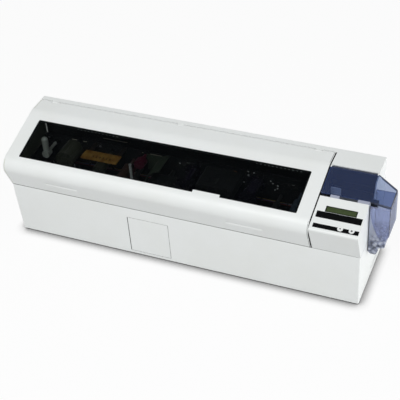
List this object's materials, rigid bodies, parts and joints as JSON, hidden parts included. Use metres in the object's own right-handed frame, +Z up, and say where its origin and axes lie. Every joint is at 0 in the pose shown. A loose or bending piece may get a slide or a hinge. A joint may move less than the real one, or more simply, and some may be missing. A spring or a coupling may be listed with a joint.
{
  "type": "id card printer",
  "caption": "Desktop id card printer with a long smoked-window hinged lid, a card feeder under a tinted cover, an output hopper, a front access door and a built-in laminator.",
  "frame": {"origin": "on the floor under the middle of the bounding box, at the undersides of the rubber feet", "axes": "+X runs along the machine from the laminator end to the feeder end, +Y from the front to the rear, +Z up"},
  "size_m": [0.9197, 0.2344, 0.269],
  "materials": {
    "white_plastic": "fine-grained moulded",
    "black_plastic": "satin moulded",
    "grey_plastic": "satin moulded",
    "tinted_plastic": "polished transparent, blue-grey tint",
    "smoked_plastic": "polished transparent, dark smoke tint",
    "frosted_plastic": "frosted translucent",
    "rubber_black": "ground",
    "silicone_brown": "smooth",
    "silicone_red": "smooth",
    "tacky_blue": "glossy tacky",
    "steel_bright": "brushed",
    "steel_dark": "powder coated",
    "spring_chrome": "bright",
    "motor_metal": "cast and machined",
    "brass_gear": "machined",
    "circuit_green": "solder mask",
    "display_green": "smooth display window",
    "label_black": "screen-printed film",
    "card_white": "satin card stock",
    "ribbon_violet": "thin glossy film",
    "laminate_film": "thin glossy film",
    "guide_green": "satin painted",
    "amber_plastic": "glossy heat-resistant",
    "lever_white": "satin",
    "cam_maroon": "satin",
    "zinc_plate": "zinc plated"
  },
  "bodies": {
    "casework": {"base_casing": "white_plastic", "base_pan": "zinc_plate", "upper_housing": "white_plastic", "rubber_feet": "rubber_black", "case_screws": "steel_bright", "lid_hinge_pins": "steel_bright", "door_hinge_pins": "steel_bright", "reject_bin": "black_plastic", "cover_hinge_pins": "steel_bright", "card_tray": "black_plastic", "card_stack": "card_white", "lcd_screen": "display_green", "lcd_module": "circuit_green", "label_strips": "label_black", "control_board": "circuit_green", "chassis_frame": "steel_dark", "drive_motor": "motor_metal", "timing_belt": "rubber_black", "ribbon_web": "ribbon_violet", "flipper_guide": "guide_green", "laminator_motor": "motor_metal", "heater_cover": "amber_plastic", "latch_spring": "spring_chrome", "main_board": "circuit_green", "power_supply": "zinc_plate", "power_inlet": "black_plastic", "rear_ports": "zinc_plate", "cooling_fan": "black_plastic"},
    "lid": {"main_lid": "white_plastic", "lid_window": "smoked_plastic"},
    "door": {"front_door": "white_plastic"},
    "cover": {"feeder_cover": "tinted_plastic", "cover_grip": "frosted_plastic"},
    "weight": {"card_weight": "grey_plastic"},
    "hopper": {"output_hopper": "tinted_plastic"},
    "left_key": {"left_button": "white_plastic"},
    "right_key": {"right_button": "white_plastic"},
    "print_carrier": {"printhead_carrier": "black_plastic", "thermal_printhead": "motor_metal"},
    "pick": {"pick_roller": "rubber_black"},
    "entry": {"entry_roller": "rubber_black"},
    "pinch": {"pinch_roller": "steel_bright"},
    "cleaner": {"cleaning_roller": "tacky_blue"},
    "transport": {"transport_roller": "rubber_black"},
    "platen": {"platen_roller": "rubber_black"},
    "exit": {"exit_roller": "rubber_black"},
    "belt_pulley": {"motor_pulley": "brass_gear"},
    "ribbon_supply": {"ribbon_supply_spool": "ribbon_violet"},
    "ribbon_takeup": {"ribbon_takeup_spool": "ribbon_violet"},
    "flipper": {"card_flipper": "black_plastic"},
    "laminate_supply": {"laminate_supply_roll": "laminate_film"},
    "laminate_takeup": {"laminate_takeup_roll": "laminate_film"},
    "hot": {"heated_roller": "silicone_brown"},
    "pressure": {"pressure_roller": "silicone_red"},
    "laminate_feed": {"laminator_feed_roller": "rubber_black"},
    "pinion": {"laminator_pinion": "brass_gear"},
    "lever": {"release_lever": "lever_white"},
    "cam": {"release_cam": "cam_maroon"},
    "rocker": {"power_switch": "lever_white"},
    "fan": {"fan_rotor": "black_plastic"}
  },
  "joints": [
    {"name": "lid_hinge", "type": "hinge", "parent": "casework", "child": "lid", "pos_m": [-0.06, 0.09716, 0.2655], "axis": [-1, 0, 0], "range_deg": [0, 100]},
    {"name": "door_hinge", "type": "hinge", "parent": "casework", "child": "door", "pos_m": [-0.151, -0.08584, 0.06], "axis": [0, 0, -1], "range_deg": [0, 100]},
    {"name": "cover_hinge", "type": "hinge", "parent": "casework", "child": "cover", "pos_m": [0.355, 0.05086, 0.26608], "axis": [-1, 0, 0], "range_deg": [0, 100]},
    {"name": "weight_lift", "type": "slide", "parent": "casework", "child": "weight", "axis": [0, 0, 1], "range_m": [0, 0.012]},
    {"name": "hopper_pull", "type": "slide", "parent": "casework", "child": "hopper", "axis": [1, 0, 0], "range_m": [0, 0.05]},
    {"name": "left_button_press", "type": "slide", "parent": "casework", "child": "left_key", "axis": [0, 0.2688, -0.9632], "range_m": [0, 0.001], "stiffness_N_per_m": 300},
    {"name": "right_button_press", "type": "slide", "parent": "casework", "child": "right_key", "axis": [0, 0.2688, -0.9632], "range_m": [0, 0.001], "stiffness_N_per_m": 300},
    {"name": "pick_spin", "type": "hinge", "parent": "casework", "child": "pick", "pos_m": [0.3465, 0.00366, 0.1434], "axis": [0, 1, 0], "continuous": true},
    {"name": "pulley_spin", "type": "hinge", "parent": "casework", "child": "belt_pulley", "pos_m": [0.14, 0.07016, 0.1], "axis": [0, 1, 0], "continuous": true},
    {"name": "entry_spin", "type": "hinge", "parent": "casework", "child": "entry", "pos_m": [0.273, 0.00366, 0.1436], "axis": [0, 1, 0], "continuous": true},
    {"name": "transport_spin", "type": "hinge", "parent": "casework", "child": "transport", "pos_m": [0.18, 0.00366, 0.1436], "axis": [0, 1, 0], "continuous": true},
    {"name": "exit_spin", "type": "hinge", "parent": "casework", "child": "exit", "pos_m": [-0.035, 0.00366, 0.1436], "axis": [0, 1, 0], "continuous": true},
    {"name": "platen_spin", "type": "hinge", "parent": "casework", "child": "platen", "pos_m": [0.02, 0.00366, 0.1416], "axis": [0, 1, 0], "continuous": true},
    {"name": "pinch_spin", "type": "hinge", "parent": "casework", "child": "pinch", "pos_m": [0.273, 0.00366, 0.1584], "axis": [0, 1, 0], "continuous": true},
    {"name": "cleaner_spin", "type": "hinge", "parent": "casework", "child": "cleaner", "pos_m": [0.23, 0.00366, 0.1614], "axis": [0, 1, 0], "continuous": true},
    {"name": "ribbon_supply_spin", "type": "hinge", "parent": "casework", "child": "ribbon_supply", "pos_m": [0.13, 0.00366, 0.19], "axis": [0, 1, 0], "continuous": true},
    {"name": "ribbon_takeup_spin", "type": "hinge", "parent": "casework", "child": "ribbon_takeup", "pos_m": [-0.028, 0.00366, 0.19], "axis": [0, 1, 0], "continuous": true},
    {"name": "carrier_hinge", "type": "hinge", "parent": "casework", "child": "print_carrier", "pos_m": [0.081, 0.00366, 0.176], "axis": [0, 1, 0], "range_deg": [0, 18]},
    {"name": "flipper_spin", "type": "hinge", "parent": "casework", "child": "flipper", "pos_m": [-0.094, 0.00366, 0.152], "axis": [0, 1, 0], "continuous": true},
    {"name": "pinion_spin", "type": "hinge", "parent": "casework", "child": "pinion", "pos_m": [-0.198, 0.07916, 0.121], "axis": [0, 1, 0], "continuous": true},
    {"name": "pressure_spin", "type": "hinge", "parent": "casework", "child": "pressure", "pos_m": [-0.198, 0.00366, 0.1396], "axis": [0, 1, 0], "continuous": true},
    {"name": "hot_spin", "type": "hinge", "parent": "casework", "child": "hot", "pos_m": [-0.198, 0.00366, 0.1644], "axis": [0, 1, 0], "continuous": true},
    {"name": "laminate_feed_spin", "type": "hinge", "parent": "casework", "child": "laminate_feed", "pos_m": [-0.17772, 0.00366, 0.1436], "axis": [0, 1, 0], "continuous": true},
    {"name": "laminate_supply_spin", "type": "hinge", "parent": "casework", "child": "laminate_supply", "pos_m": [-0.342, 0.00366, 0.192], "axis": [0, 1, 0], "continuous": true},
    {"name": "laminate_takeup_spin", "type": "hinge", "parent": "casework", "child": "laminate_takeup", "pos_m": [-0.255, 0.00366, 0.178], "axis": [0, 1, 0], "continuous": true},
    {"name": "lever_hinge", "type": "hinge", "parent": "casework", "child": "lever", "pos_m": [-0.41, 0.00866, 0.178], "axis": [0, 1, 0], "range_deg": [0, 35]},
    {"name": "cam_hinge", "type": "hinge", "parent": "casework", "child": "cam", "pos_m": [-0.16, 0.01916, 0.194], "axis": [0, 1, 0], "range_deg": [0, 90]},
    {"name": "rocker_hinge", "type": "hinge", "parent": "casework", "child": "rocker", "pos_m": [0.302, 0.10916, 0.044], "axis": [1, 0, 0], "range_deg": [-14, 0]},
    {"name": "fan_spin", "type": "hinge", "parent": "casework", "child": "fan", "pos_m": [-0.3, 0.10216, 0.084], "axis": [0, 1, 0], "continuous": true}
  ],
  "couplings": [
    {"joint": "entry_spin", "follows": "pulley_spin", "ratio": 1},
    {"joint": "transport_spin", "follows": "pulley_spin", "ratio": 1},
    {"joint": "exit_spin", "follows": "pulley_spin", "ratio": 1},
    {"joint": "platen_spin", "follows": "pulley_spin", "ratio": 0.8},
    {"joint": "pressure_spin", "follows": "pinion_spin", "ratio": -0.5},
    {"joint": "hot_spin", "follows": "pinion_spin", "ratio": 0.5},
    {"joint": "laminate_feed_spin", "follows": "pinion_spin", "ratio": 0.75}
  ]
}
